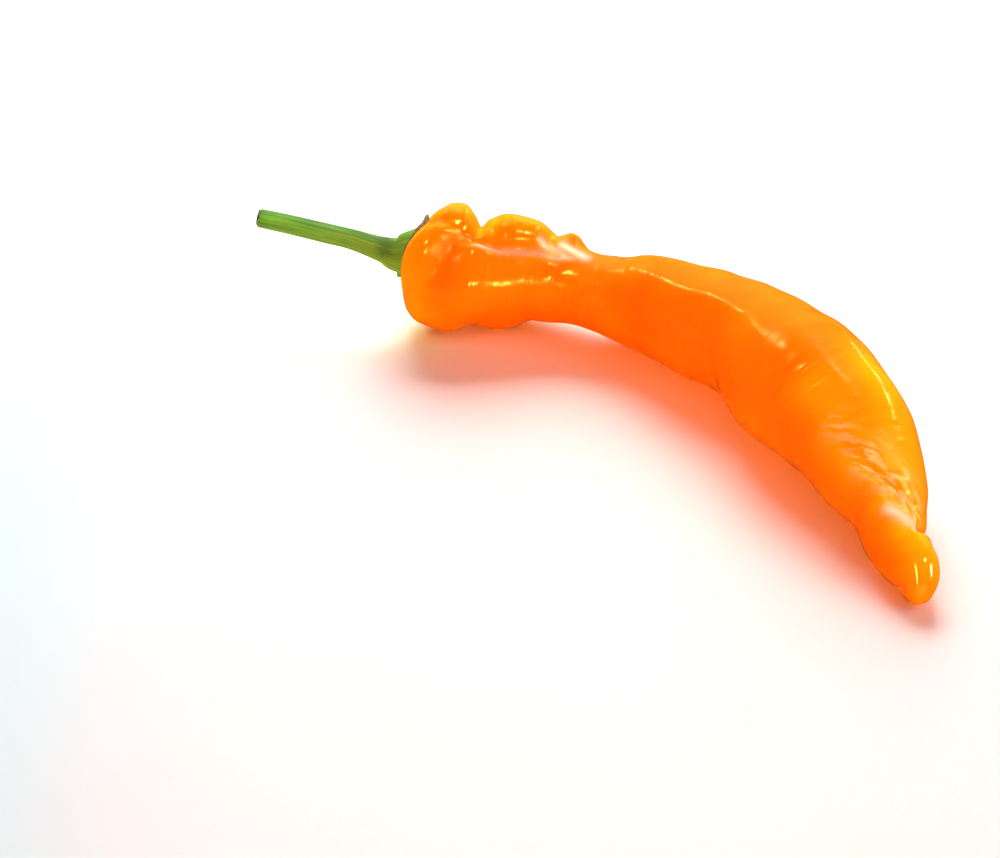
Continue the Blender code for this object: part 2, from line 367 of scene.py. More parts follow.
@dataclass(frozen=True)
class WaxySkin(Finish):
    """Ripe pepper skin: smooth, waxy and slightly see-through over wet orange flesh.

    The wax gives small sharp highlights, which fine rings of growth across the fruit
    break into dashes. The flesh under it glows where it is lit from the side.
    """

    name: str = "grown_waxy_pepper_skin"
    ripe: str = "#fb8403"
    pale: str = "#fc8f05"
    golden: str = "#fec40c"
    # painted shade: deeper orange in the creases and in bands along the top, the sides and under
    # the shoulder
    painted_shade: str = "#f96a02"
    bloom_and_sheen: str = "#fff2d4"  # pale wax in the creases and along the ridge, partly painted sheen
    feather_and_sheen: str = "#fff4a8"  # pale wax and painted sheen in streaks, where the skin is finely wrinkled
    scar: str = "#9a5a20"  # corky spot where the flower fell off
    gloss: str = "#ffce4c"  # the wax mirrors white light as pale gold
    waxed_roughness: float = 0.09
    bare_roughness: float = 0.14
    worn_roughness: float = 0.3  # added where the wax has been rubbed off
    stroke_width: float = 1.7  # mm, streaks of the wax and painted sheen on the wrinkles
    stroke_length: float = 7.0
    stroke_slant: float = 40.0  # degrees
    ring_spacing: float = 1.3  # mm between growth rings
    ring_length: float = 9.0  # mm that a ring runs before it fades
    ring_height: float = 0.35  # mm
    sleek_rings: float = 0.2  # share of the rings' height left at the shoulder and the tip
    pit_size: float = 0.5  # mm
    pit_depth: float = 0.03
    patch_size: float = 30.0  # mm, paler and deeper patches
    flesh_glow: float = 6.0  # mm that light spreads under the skin
    flesh_spread: tuple[float, float, float] = (1.0, 0.3, 0.08)  # red goes furthest

    def constants(self) -> dict[str, Any]:
        """Shader sockets that are the same all over."""
        return {
            "IOR": 1.45,
            "Subsurface Weight": 0.35,
            "Subsurface Radius": self.flesh_spread,
            "Subsurface Scale": self.flesh_glow * MM,
            "Specular Tint": linear(self.gloss),
        }

    def patterns(self, tree: Tree) -> dict[str, Socket]:
        """Colour, relief and roughness from patches, rings, pits and the tints of the marks."""
        skin = add(tree, "Attribute", out="Vector", attribute_name="skin")
        place = add(tree, "TexCoord", out="Object")
        noise = {"Scale": per(self.patch_size), "Detail": 3.0}
        patches = add(tree, "TexNoise", noise, {"Vector": place})
        span = {"From Min": 0.3, "From Max": 0.7}
        span |= {"To Min": self.waxed_roughness, "To Max": self.bare_roughness}
        rough = add(tree, "MapRange", span, {"Value": patches})
        dull = add(tree, "Attribute", out="Fac", attribute_name=Tint.DULL.value)
        worn = add(tree, "MapRange", {"To Max": self.worn_roughness}, {"Value": dull})
        return {
            "Base Color": self.colour(tree, skin, patches),
            "Normal": self.relief(tree, skin, place),
            "Roughness": add(tree, "Math", links={0: rough, 1: worn}, operation="ADD"),
        }

    def colour(self, tree: Tree, skin: Socket, patches: Socket) -> Socket:
        """Ripe and pale patches under one layer for each tint of the marks, among them painted
        shade and painted sheen.

        Args:
            tree: material's node tree.
            skin: skin coordinates.
            patches: noise that tells ripe from pale.

        Returns:
            The colour.
        """
        share = add(tree, "MapRange", {"From Min": 0.35, "From Max": 0.65}, {"Value": patches})
        base = {COLOUR_A: linear(self.ripe), COLOUR_B: linear(self.pale)}
        mixed = add(tree, "Mix", base, {0: share}, COLOUR, data_type="RGBA")
        lean = self.stretched(tree, skin, self.stroke_width, self.stroke_length, self.stroke_slant)
        noise = {"Scale": 1.0, "Detail": 3.0, "Roughness": 0.6}
        strokes = add(tree, "TexNoise", noise, {"Vector": lean})
        streaky = add(tree, "MapRange", {"From Min": 0.46, "From Max": 0.56}, {"Value": strokes})
        hues = {
            Tint.GOLDEN: self.golden,
            Tint.PAINTED_SHADE: self.painted_shade,
            Tint.BLOOM: self.bloom_and_sheen,
            Tint.FEATHER: self.feather_and_sheen,
            Tint.SCAR: self.scar,
        }
        for tint, hue in hues.items():
            share = add(tree, "Attribute", out="Fac", attribute_name=tint.value)
            if tint is Tint.FEATHER:
                share = add(tree, "Math", links={0: share, 1: streaky}, operation="MULTIPLY")
            under = {0: share, COLOUR_A: mixed}
            mixed = add(tree, "Mix", {COLOUR_B: linear(hue)}, under, COLOUR, data_type="RGBA")
        return mixed

    def relief(self, tree: Tree, skin: Socket, place: Socket) -> Socket:
        """Growth rings, lower where the skin is sleek, with pits over them.

        Args:
            tree: material's node tree.
            skin: skin coordinates.
            place: object coordinates.

        Returns:
            The bumped normal.
        """
        across = self.stretched(tree, skin, self.ring_spacing, self.ring_length)
        noise = {"Scale": 1.0, "Detail": 2.0, "Roughness": 0.45}
        rings = add(tree, "TexNoise", noise, {"Vector": across})
        sleek = add(tree, "Attribute", out="Fac", attribute_name=Tint.SLEEK.value)
        span = {"To Min": 1.0, "To Max": self.sleek_rings}
        left = add(tree, "MapRange", span, {"Value": sleek})
        rings = add(tree, "Math", links={0: rings, 1: left}, operation="MULTIPLY")
        raised = {"Strength": 0.8, "Distance": self.ring_height * MM}
        wide = add(tree, "Bump", raised, {"Height": rings})
        noise = {"Scale": per(self.pit_size), "Detail": 1.0}
        pits = add(tree, "TexNoise", noise, {"Vector": place})
        sunk = {"Strength": 0.25, "Distance": self.pit_depth * MM}
        return add(tree, "Bump", sunk, {"Height": pits, "Normal": wide})

    def stretched(
        self, tree: Tree, skin: Socket, width: float, length: float, slant: float = 0.0
    ) -> Socket:
        """Skin coordinates scaled so that the noise forms streaks across the fruit.

        Args:
            tree: material's node tree.
            skin: skin coordinates.
            width: streaks' width in mm.
            length: streaks' length in mm.
            slant: degrees by which the streaks lean from straight across.

        Returns:
            The scaled coordinates.
        """
        turn = (0.0, 0.0, math.radians(slant))
        turned = add(tree, "Mapping", {"Rotation": turn}, {"Vector": skin})
        scale = (per(width), per(length), per(length))
        return add(tree, "Mapping", {"Scale": scale}, {"Vector": turned})


@dataclass(frozen=True)
class FreshGreen(Finish):
    """Fresh green stalk tissue: fibres lie lengthwise under a thin dull skin.

    The fibres give the eye light and dark green streaks and faint ribs; painted shade from each
    piece darkens the green.
    """

    light: str = "#7cba38"
    dark: str = "#467c1e"
    streak_width: float = 1.1  # mm
    streak_length: float = 16.0
    fibre_height: float = 0.1
    sap_glow: float = 0.8  # mm that light spreads under the skin
    sap_spread: tuple[float, float, float] = (0.6, 1.0, 0.2)  # green goes furthest

    def constants(self) -> dict[str, Any]:
        """Shader sockets that are the same all over."""
        return {
            "Roughness": 0.48,
            "Specular IOR Level": 0.12,
            "Subsurface Weight": 0.15,
            "Subsurface Radius": self.sap_spread,
            "Subsurface Scale": self.sap_glow * MM,
        }

    def patterns(self, tree: Tree) -> dict[str, Socket]:
        """Lengthwise streaks, darker by the painted shade in the shade attribute."""
        skin = add(tree, "Attribute", out="Vector", attribute_name="skin")
        shade = add(tree, "Attribute", out="Fac", attribute_name="shade")
        scale = (per(self.streak_length), per(self.streak_width), per(self.streak_width))
        stretched = add(tree, "Mapping", {"Scale": scale}, {"Vector": skin})
        streaks = add(tree, "TexNoise", {"Scale": 1.0, "Detail": 4.0}, {"Vector": stretched})
        shaded = add(tree, "Math", links={0: streaks, 1: shade}, operation="ADD")
        share = add(tree, "MapRange", {"From Min": 0.3, "From Max": 0.75}, {"Value": shaded})
        greens = {COLOUR_A: linear(self.light), COLOUR_B: linear(self.dark)}
        raised = {"Strength": 0.5, "Distance": self.fibre_height * MM}
        return {
            "Base Color": add(tree, "Mix", greens, {0: share}, COLOUR, data_type="RGBA"),
            "Normal": add(tree, "Bump", raised, {"Height": streaks}),
        }


@dataclass(frozen=True)
class DryTissue(Finish):
    """Dried plant tissue: brown, wrinkled and dull where it was cut or has withered.

    The eye sees blotches of light and dark brown on a rough surface.
    """

    light: str
    dark: str
    grain: float  # mm
    wrinkle_height: float = 0.2  # mm

    def constants(self) -> dict[str, Any]:
        """Shader sockets that are the same all over."""
        return {"Roughness": 0.8}

    def patterns(self, tree: Tree) -> dict[str, Socket]:
        """Blotches of brown, raised as wrinkles."""
        place = add(tree, "TexCoord", out="Object")
        noise = {"Scale": per(self.grain), "Detail": 4.0}
        blotches = add(tree, "TexNoise", noise, {"Vector": place})
        share = add(tree, "MapRange", {"From Min": 0.35, "From Max": 0.65}, {"Value": blotches})
        browns = {COLOUR_A: linear(self.light), COLOUR_B: linear(self.dark)}
        raised = {"Strength": 0.6, "Distance": self.wrinkle_height * MM}
        return {
            "Base Color": add(tree, "Mix", browns, {0: share}, COLOUR, data_type="RGBA"),
            "Normal": add(tree, "Bump", raised, {"Height": blotches}),
        }


@dataclass(frozen=True)
class PaintedFloor(Finish):
    """Matt painted board in a slightly cool white, with a barely uneven coat.

    It gives back most of the light, so the eye sees white with soft shadows.
    """

    name: str = "painted_white_board"
    white: str = "#d7e6ea"
    thin: str = "#d2e1e5"
    patch_size: float = 60.0  # mm

    def constants(self) -> dict[str, Any]:
        """Shader sockets that are the same all over."""
        return {"Roughness": 0.6}

    def patterns(self, tree: Tree) -> dict[str, Socket]:
        """A very faint unevenness of the coat."""
        place = add(tree, "TexCoord", out="Object")
        coat = add(tree, "TexNoise", {"Scale": per(self.patch_size)}, {"Vector": place})
        whites = {COLOUR_A: linear(self.white), COLOUR_B: linear(self.thin)}
        return {"Base Color": add(tree, "Mix", whites, {0: coat}, COLOUR, data_type="RGBA")}


# ---- Pod ----


class Relief(Enum):
    """Which way a fold of the skin goes, as the sign of its height."""

    LOBE = 1.0
    FURROW = -1.0


@dataclass(frozen=True)
class Track:
    """Path over the skin, with the lengths over which its mark fades in and out.

    The skin is unrolled at each point's own radius, so distances are true near the path.
    """

    path: tuple[tuple[float, float], ...]  # mm along the axis, degrees round it
    fade_in: float  # mm
    fade_out: float

    def measure(self, s: Array, degrees: Array, radius: Array) -> tuple[Array, Array, Array]:
        """Where each place of the skin lies beside the path.

        Args:
            s: distance along the axis in mm.
            degrees: angle round it.
            radius: the fruit's radius there in mm.

        Returns:
            Distances along and across the path in mm, and the share left by its faded ends.
        """
        nearest = np.full(s.shape, np.inf)
        along, across, begun = (np.zeros(s.shape) for _ in range(3))
        last = len(self.path) - 2
        for i, ((s0, a0), (s1, a1)) in enumerate(zip(self.path, self.path[1:])):
            run, rise = s1 - s0, np.radians(a1 - a0) * radius
            x, y = s - s0, np.radians(angle_off(degrees, a0)) * radius
            length = np.hypot(run, rise)
            share = (x * run + y * rise) / length**2
            share = np.clip(share, 0.0 if i else -np.inf, 1.0 if i < last else np.inf)
            distance = np.hypot(x - share * run, y - share * rise)
            closer = distance < nearest
            nearest = np.where(closer, distance, nearest)
            side = np.sign(run * y - rise * x)
            along = np.where(closer, begun + share * length, along)
            across = np.where(closer, side * distance, across)
            begun = begun + length
        ends = smooth(1.0 + along / self.fade_in) * smooth(1.0 + (begun - along) / self.fade_out)
        return along, across, ends


@dataclass(frozen=True)
class Fold(Track):
    """A lobe or furrow along a track, with a bell curve across it."""

    relief: Relief
    width: float  # mm to either side
    height: float  # mm

    def lift(self, s: Array, degrees: Array, radius: Array) -> Array:
        """Height in mm at each place of the skin."""
        _, across, ends = self.measure(s, degrees, radius)
        return self.relief.value * self.height * ends * bell(across / self.width)


@dataclass(frozen=True)
class Pleats(Track):
    """Row of small wrinkles beside a track: a cosine wave under a bell curve."""

    slant: float  # degrees from crests across the track to crests along it
    width: float  # mm to either side
    depth: float
    spacing: float
    # how far the crests stray, as a share of the spacing
    stray: Waves = Waves(0.35, shortest=5.0, longest=14.0, most_round=4, count=8, seed=21)

    def lift(self, s: Array, degrees: Array, radius: Array) -> Array:
        """Height of the wrinkles, whose crests lie at a slant to the track.

        Args:
            s: distance along the axis in mm.
            degrees: angle round it.
            radius: the fruit's radius there in mm.

        Returns:
            Height in mm at each place of the skin.
        """
        along, across, ends = self.measure(s, degrees, radius)
        turn = math.radians(self.slant)
        run = along * math.cos(turn) + across * math.sin(turn)
        crests = run / self.spacing + self.stray.height(s, degrees)
        wave = np.cos(2 * math.pi * crests)
        return self.depth * wave * ends * bell(across / self.width)


@dataclass(frozen=True)
class Mark(Track):
    """Band of a tint along a track, fading to either side."""

    tint: Tint
    width: float  # mm to either side
    strength: float

    def cover(self, s: Array, degrees: Array, radius: Array) -> Array:
        """Share of the tint at each place of the skin."""
        _, across, ends = self.measure(s, degrees, radius)
        return self.strength * ends * bell(across / self.width)


@dataclass
class Pod:
    """Fruit wall: a bent tube whose size, lobes and furrows change along its axis.

    Angle 0 is the outer side of the bend, 90 the top, 180 the inner side.
    """

    node: str = "pod"
    # x, y, z of the axis from the calyx seat to the tip, then half width and half height
    stations: tuple[tuple[float, ...], ...] = (
        (-86.0, -11.0, 24.5, 16.2, 16.2),
        (-80.5, -8.0, 21.8, 16.6, 17.2),
        (-73.5, -3.5, 19.9, 17.0, 17.8),
        (-67.0, 3.5, 18.0, 16.5, 16.8),
        (-60.0, 11.0, 17.0, 15.7, 15.8),
        (-49.0, 17.0, 15.8, 12.8, 13.6),
        (-37.5, 20.5, 15.0, 11.9, 12.0),
        (-27.0, 24.0, 14.3, 13.2, 13.2),
        (-14.5, 27.0, 15.2, 15.5, 15.5),
        (2.0, 27.0, 16.5, 17.6, 16.9),
        (23.0, 25.5, 18.0, 17.6, 18.4),
        (52.0, 14.5, 19.0, 20.7, 19.4),
        (74.0, 5.0, 16.9, 17.4, 17.2),
        (90.5, -5.0, 13.7, 14.2, 13.7),
        (100.5, -11.0, 10.4, 10.3, 10.5),
        (107.0, -17.5, 8.4, 8.9, 8.7),
        (114.0, -22.5, 7.3, 7.8, 7.5),
        (121.0, -26.0, 5.7, 5.7, 5.7),
        (123.0, -29.6, 4.2, 4.0, 4.0),
    )
    # distance along the axis and share of the radius: dimple, crest and shoulder
    shoulder: tuple[tuple[float, float], ...] = (
        (6.0, 0.0),
        (5.4, 0.18),
        (3.6, 0.40),
        (2.4, 0.58),
        (1.4, 0.68),
        (1.2, 0.75),
        (2.2, 0.85),
        (5.0, 0.94),
        (9.0, 0.985),
        (14.0, 1.0),
    )
    dimple_share: float = 0.62
    crest_share: float = 0.76
    shoulder_length: float = 16.0  # mm
    tip_length: float = 3.4
    body_rows: int = 40  # rows of the plain profile between shoulder and tip
    tip_rows: int = 16
    softening: float = 5.0  # mm to either side over which the stations' bends are blended
    blend_rows: int = 9
    nominal_radius: float = 16.0  # mm
    least_radius: float = 2.0
    folds: tuple[Fold | Pleats, ...] = (
        Fold(((6.5, 69), (12.5, 69)), 7.0, 6.0, Relief.LOBE, 9.0, 2.7),
        Fold(((3, 98), (11, 103)), 5.0, 5.0, Relief.FURROW, 2.6, 1.2),
        Fold(((21, 25), (21, 80), (18.5, 104)), 5.0, 5.0, Relief.FURROW, 2.3, 3.5),
        Fold(((15.5, 112), (12.5, 128), (12, 158)), 4.0, 10.0, Relief.FURROW, 3.6, 2.4),
        Fold(((9, 232), (15, 238)), 8.0, 8.0, Relief.LOBE, 13.0, 4.0),
        Fold(((31, 72), (39, 68)), 7.0, 7.0, Relief.LOBE, 9.0, 2.2),
        Fold(((29, 104), (39, 101)), 6.0, 7.0, Relief.LOBE, 6.0, 2.8),
        Fold(((28, 240), (36, 240)), 9.0, 8.0, Relief.LOBE, 11.0, 2.0),
        Fold(((49.5, 60), (50.5, 62)), 4.0, 4.0, Relief.LOBE, 4.2, 2.8),
        Fold(((66, 88), (80, 88)), 7.0, 14.0, Relief.LOBE, 10.0, 1.1),
        Fold(((152, 66), (182, 64)), 14.0, 12.0, Relief.LOBE, 12.0, 1.1),
        Fold(
            ((222.5, 60), (220.5, 30), (218.5, 5), (218.5, -8)), 4.0, 5.0, Relief.FURROW, 2.3, 1.9
        ),
        Fold(((18, 182), (30, 180), (46, 178)), 8.0, 14.0, Relief.LOBE, 8.5, 3.0),
        Fold(((19, 134), (27, 134), (39, 130), (44, 129)), 5.0, 8.0, Relief.LOBE, 3.6, 0.8),
        Fold(
            ((18, 121), (27, 127), (33, 126), (39, 122), (48, 119)),
            *(4.0, 4.0, Relief.FURROW, 1.5, 2.2),
        ),
        Fold(((84, 116), (112, 120), (124, 126)), 12.0, 12.0, Relief.LOBE, 6.0, 0.8),
        Fold(((140, 208), (154, 208)), 12.0, 12.0, Relief.LOBE, 10.0, 1.2),
        Fold(((185, 40), (205, 28)), 20.0, 6.0, Relief.LOBE, 10.0, 0.9),
        Fold(((194, 124), (203, 110), (213, 80), (220, 30)), 9.0, 3.0, Relief.FURROW, 2.2, 1.5),
        Fold(((226, 66), (230, 62)), 5.0, 6.0, Relief.LOBE, 5.0, 0.8),
        Pleats(((188, 128), (206, 108)), 5.0, 5.0, 33.0, 4.5, 0.12, 2.1),
        Pleats(((203, 100), (212, 72), (221, 30)), 5.0, 3.0, 90.0, 4.5, 0.3, 3.4),
        Fold(((6, 173), (8, 174)), 2.0, 2.0, Relief.LOBE, 2.6, 0.6),
    )
    marks: tuple[Mark, ...] = (
        # pale wax and painted sheen along the front ridge and in the creases by the hump
        Mark(
            ((20, 127), (27, 131), (33, 130), (39, 127), (52, 113)), 4.0, 5.0, Tint.BLOOM, 1.1, 0.75
        ),
        Mark(((43, 108), (50, 112)), 2.5, 3.0, Tint.BLOOM, 1.6, 0.95),
        Mark(((49, 92), (57, 97)), 2.5, 4.0, Tint.BLOOM, 1.8, 0.95),
        # pale wax and painted sheen in streaks along the wrinkles by the tip
        Mark(((186, 127), (197, 117)), 5.0, 3.0, Tint.FEATHER, 3.6, 0.5),
        Mark(((198, 115), (204.5, 100), (211.5, 76), (217, 50)), 3.0, 4.0, Tint.FEATHER, 4.2, 0.95),
        Mark(((12, 178), (13.5, 184)), 1.0, 1.0, Tint.DULL, 1.8, 0.6),
        # pale wax and painted sheen in the crease by the tip
        Mark(((216, 104), (220.5, 80), (222, 50)), 3.0, 3.0, Tint.BLOOM, 1.8, 0.95),
        # painted shade: deeper orange in the furrow and the groove by the crest, and in bands along
        # the body
        Mark(((15, 112), (12.8, 127), (12.3, 145), (12.3, 180)), 4.0, 10.0, Tint.PAINTED_SHADE, 3.0, 0.4),
        Mark(((2, 100), (6, 100)), 4.0, 4.0, Tint.PAINTED_SHADE, 2.5, 0.6),
        Mark(((90, 170), (150, 176), (230, 160)), 20.0, 10.0, Tint.PAINTED_SHADE, 9.0, 0.3),
        Mark(((64, 92), (92, 92), (118, 92)), 14.0, 20.0, Tint.PAINTED_SHADE, 11.0, 0.2),
        Mark(((0, 80), (30, 74), (44, 76)), 10.0, 8.0, Tint.GOLDEN, 11.0, 0.4),
        Mark(((2, 130), (5, 180), (8, 220)), 5.0, 8.0, Tint.GOLDEN, 6.0, 0.15),
        # golden orange beside the wrinkled crease, partly painted highlight
        Mark(((172, 127), (184, 125), (200, 122), (212, 100)), 12.0, 6.0, Tint.GOLDEN, 7.0, 0.65),
        # golden orange along the start of the ridge, partly painted highlight
        Mark(((58, 133), (72, 123), (80, 119)), 6.0, 8.0, Tint.GOLDEN, 5.0, 0.25),
        # painted shade: deeper orange under the end of the ridge's highlight
        Mark(((144, 121), (154, 119), (163, 116)), 4.0, 6.0, Tint.PAINTED_SHADE, 5.5, 0.3),
        Mark(((147, 120), (152, 120)), 2.5, 2.5, Tint.DULL, 2.8, 0.35),
        Mark(((226, 84), (242, 80)), 8.0, 6.0, Tint.GOLDEN, 6.0, 0.4),
        # painted shade: deeper orange under the shoulder and along the outer side
        Mark(((20, 208), (60, 206)), 10.0, 14.0, Tint.PAINTED_SHADE, 8.0, 0.4),
        Mark(((2, -8), (60, -12), (120, -22)), 10.0, 40.0, Tint.PAINTED_SHADE, 15.0, 0.85),
        Mark(((56, 112), (70, 116), (82, 121)), 5.0, 4.0, Tint.DULL, 3.5, 0.4),
        Mark(((194, 88), (204, 86)), 4.0, 4.0, Tint.DULL, 5.0, 0.9),
        Mark(((216, 90), (222, 60)), 3.0, 3.0, Tint.DULL, 3.0, 0.6),
        Mark(((239.5, 60), (240.5, 68)), 1.5, 1.5, Tint.DULL, 1.3, 0.8),
        Mark(((14, 113), (11.5, 126), (10, 143)), 1.5, 3.0, Tint.DULL, 2.2, 0.9),
        Mark(((32, 110), (40, 104)), 4.0, 4.0, Tint.SLEEK, 6.0, 0.8),
        Mark(((188, 150), (200, 146)), 6.0, 6.0, Tint.GOLDEN, 4.0, 0.3),
        Mark(((172, 60), (232, 70)), 18.0, 8.0, Tint.GOLDEN, 9.0, 0.8),
        Mark(((239, 150), (241, 180), (241, 240)), 1.5, 3.0, Tint.SCAR, 1.2, 0.5),
    )
    # angle, half width in degrees and reach towards the stem
    crown: tuple[tuple[float, float, float], ...] = (
        (150.0, 50.0, 2.8),
        (62.0, 28.0, 0.8),
        (232.0, 36.0, -1.6),
        (330.0, 50.0, 0.8),
    )
    rings: int = 430
    around: int = 216
    ring_spread: tuple[tuple[float, float], ...] = ((0, 0), (0.3, 60), (0.75, 200), (1, 261))
    contact_softness: float = 0.5  # mm over which the skin turns into its resting patch
    dents: Waves = Waves(0.22, shortest=14.0, longest=34.0, most_round=4, count=14, seed=3)
    ripples: Waves = Waves(0.03, shortest=3.0, longest=8.0, most_round=5, count=24, seed=8)
    golden_shoulder: float = 0.2
    # where each tint starts to change and the length over which it does, in mm
    golden_end: tuple[float, float] = (35.0, 50.0)
    sleek_end: tuple[float, float] = (14.0, 10.0)
    sleek_tip: tuple[float, float] = (222.0, 8.0)

    def axis(self, s: Array) -> tuple[Array, Array, Array]:
        """Middle, direction and size of the tube.

        The curve through the stations is averaged over a short stretch, which takes the
        jumps out of its bend.

        Args:
            s: distances along the axis in mm.

        Returns:
            Centre, forward direction, and half width and height at each distance.
        """
        rows = np.array(self.stations)
        knots = lengths(rows[:, :3])
        offsets = np.linspace(-1.0, 1.0, self.blend_rows)
        weights = np.cos(offsets * math.pi / 2) ** 2
        mixed = sum(
            weight * spline(s + offset * self.softening, knots, rows)
            for weight, offset in zip(weights / weights.sum(), offsets)
        )
        step = self.softening / 4
        ahead = 0.0
        for offset in (0.0, -0.5, 0.5):
            near = s + offset * self.softening
            ahead = ahead + spline(near + step, knots, rows[:, :3])
            ahead = ahead - spline(near - step, knots, rows[:, :3])
        return mixed[:, :3], unit(ahead), mixed[:, 3:]

    def profile(self) -> tuple[Array, Array]:
        """Rings from the dimple over the shoulder to the tip, closest at both ends.

        Returns:
            Distance along the axis and share of the radius of each ring.
        """
        end = lengths(np.array(self.stations)[:, :3])[-1]
        body = [(s, 1.0) for s in np.linspace(self.shoulder[-1][0], end, self.body_rows)[1:]]
        turn = np.linspace(0.0, math.pi / 2, self.tip_rows)[1:]
        tip = [(end + self.tip_length * math.sin(a), math.cos(a)) for a in turn]
        rows = np.array([*self.shoulder, *body, *tip])
        knots = lengths(rows * [1.0, self.nominal_radius])
        spread = np.array(self.ring_spread)
        at = np.interp(np.linspace(0.0, 1.0, self.rings), spread[:, 0], spread[:, 1])
        at = at / spread[-1, 1] * knots[-1]
        share = np.interp(at, knots, rows[:, 1])
        return np.interp(at, knots, rows[:, 0]), np.clip(share, 0.0, 1.0)

    def surface(self) -> tuple[Array, Array, Array, Array]:
        """Skin as a grid of points.

        Each ring is an ellipse across the axis, with the folds, dents and ripples
        added to its radius. The crown lobes push the crest back along the axis.

        Returns:
            Points, distance along the axis, angle round it and plain radius.
        """
        s, share = self.profile()
        centre, forward, half = self.axis(s)
        side, up = frames(forward)
        angle = ring_angles(self.around)[None, :]
        degrees = np.degrees(angle) + np.zeros((self.rings, 1))
        along = s[:, None] + np.zeros_like(degrees)
        radius = np.maximum((half.mean(axis=1) * share)[:, None], self.least_radius)
        shown = (share - self.dimple_share) / (self.crest_share - self.dimple_share)
        shown = smooth(shown)[:, None]
        on_body = (s > self.shoulder[-1][0])[:, None]
        full = np.where(on_body, np.sqrt(share)[:, None], shown)
        folds = sum(fold.lift(along, degrees, radius) for fold in self.folds)
        fine = self.dents.height(along, degrees) + self.ripples.height(along, degrees)
        bump = (folds + fine) * full
        wide = (half[:, :1] * share[:, None] + bump) * np.cos(angle)
        high = (half[:, 1:] * share[:, None] + bump) * np.sin(angle)
        lift = sum(h * bell(angle_off(degrees, a) / w) for a, w, h in self.crown)
        lift = lift * shown * (1.0 - smooth(along / self.shoulder_length))
        points = centre[:, None] + side[:, None] * wide[..., None] + up[:, None] * high[..., None]
        points = points - forward[:, None] * lift[..., None]
        z = points[..., 2]
        points[..., 2] = 0.5 * (z + np.sqrt(z * z + self.contact_softness**2))
        return points, along, degrees, radius

    def rim(self, share: float, degrees: Array, lift: float) -> Array:
        """Points on the stem side of the crest.

        Args:
            share: share of the radius, below the crest's.
            degrees: angles round the axis.
            lift: distance off the skin in mm, towards the stem.

        Returns:
            One point for each angle, in mm.
        """
        points, _, angles, _ = self.surface()
        shares = self.profile()[1]
        dimple = shares[: np.argmax(shares > self.crest_share)]
        ring = points[np.argmin(np.abs(dimple - share))]
        found = [np.interp(degrees, angles[0], ring[:, i]) for i in range(3)]
        return np.stack(found, axis=-1) - self.axis(np.zeros(1))[1][0] * lift

    def build(self) -> None:
        """Makes the skin and dresses it in wax."""
        points, along, degrees, radius = self.surface()
        skin = unrolled(along, np.radians(degrees), self.nominal_radius)
        golden, sleek, tip = (
            smooth((along - start) / length)
            for start, length in (self.golden_end, self.sleek_end, self.sleek_tip)
        )
        tints = {tint: np.zeros(along.shape) for tint in Tint}
        tints[Tint.GOLDEN] += self.golden_shoulder * (1.0 - golden)
        tints[Tint.SLEEK] += 1.0 - sleek + tip
        for mark in self.marks:
            tints[mark.tint] += mark.cover(along, degrees, radius)
        fields = {tint.value: np.clip(share, 0.0, 1.0) for tint, share in tints.items()}
        piece = closed_grid("pepper_skin", points, {"skin": skin, **fields})
        dress(piece, WaxySkin().build())
        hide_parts(self.node)


# ---- Calyx and stem ----


@dataclass
class Stalk:
    """Shared axis of the sepal cup and the stem, from the cup's rim to the cut end."""

    foot: Array  # mm, middle of the pod's dimple
    seat: Array  # direction out of the dimple
    # x, y, z and radius
    stations: tuple[tuple[float, ...], ...] = (
        (-86.3, -11.3, 24.2, 9.7),
        (-88.3, -13.4, 23.4, 7.3),
        (-90.0, -15.6, 23.0, 5.6),
        (-92.5, -17.4, 23.9, 4.4),
        (-95.1, -19.4, 24.9, 3.8),
        (-100.4, -23.1, 26.8, 3.3),
        (-108.5, -29.3, 29.0, 3.15),
        (-117.3, -35.9, 31.2, 3.05),
        (-125.6, -42.4, 33.2, 2.95),
    )
    cup_stations: int = 4
    squaring: float = 9.0  # mm over which the rings turn from the seat to the stem's direction
    reach: float = 0.5  # mm to either side between which that direction is taken
    nominal_radius: float = 5.0
    shaded_neck: float = 2.5  # mm to either side of the collar where painted shade darkens the skin
    far_edge: float = 0.6  # cosine at which the painted shade of the far side starts
    far_shade: float = 0.8  # painted shade: darker green on the far side, where the key light falls

    def knots(self) -> Array:
        """Distance of each station from the cup's rim."""
        return lengths(np.array(self.stations)[:, :3])

    def rings(self, at: Array, around: int) -> tuple[Array, Array, Array]:
        """Centres, ring directions and plain radii at distances from the cup's rim.

        Args:
            at: distances in mm.
            around: points in a ring.

        Returns:
            Centres, outward directions for each point of each ring, and radii.
        """
        rows, knots = np.array(self.stations), self.knots()
        path, radius = rows[:, :3], rows[:, 3:]
        ahead = spline(at + self.reach, knots, path) - spline(at - self.reach, knots, path)
        turn = smooth(at / self.squaring)[:, None]
        side, up = frames(unit((1.0 - turn) * self.seat + turn * unit(ahead)))
        angle = ring_angles(around)[None, :, None]
        out = side[:, None] * np.cos(angle) + up[:, None] * np.sin(angle)
        return spline(at, knots, path), out, spline(at, knots, radius)

    def clothe(
        self, name: str, node: str, rings: Array, at: Array, collar: float, shade: Array
    ) -> None:
        """Makes a green piece that stands for a node, with painted shade at the collar and on the
        far side.

        Args:
            name: piece's name.
            node: node's name, also put into the material's name.
            rings: points in mm, ring by ring.
            at: distance of each ring from the cup's rim, from the collar on.
            collar: painted shade that the collar adds to the upper side.
            shade: painted shade of each point of a ring.
        """
        angle = ring_angles(rings.shape[1])
        neck = collar * bell((at - at[0]) / self.shaded_neck)[:, None]
        shade = shade + neck * smooth(0.5 + np.sin(angle))
        shade = shade + self.far_shade * beyond(-np.cos(angle), self.far_edge)
        skin = unrolled(at[:, None], angle, self.nominal_radius)
        piece = closed_grid(name, rings, {"skin": skin, "shade": shade})
        dress(piece, FreshGreen("grown_green_" + node).build())
        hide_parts(node)


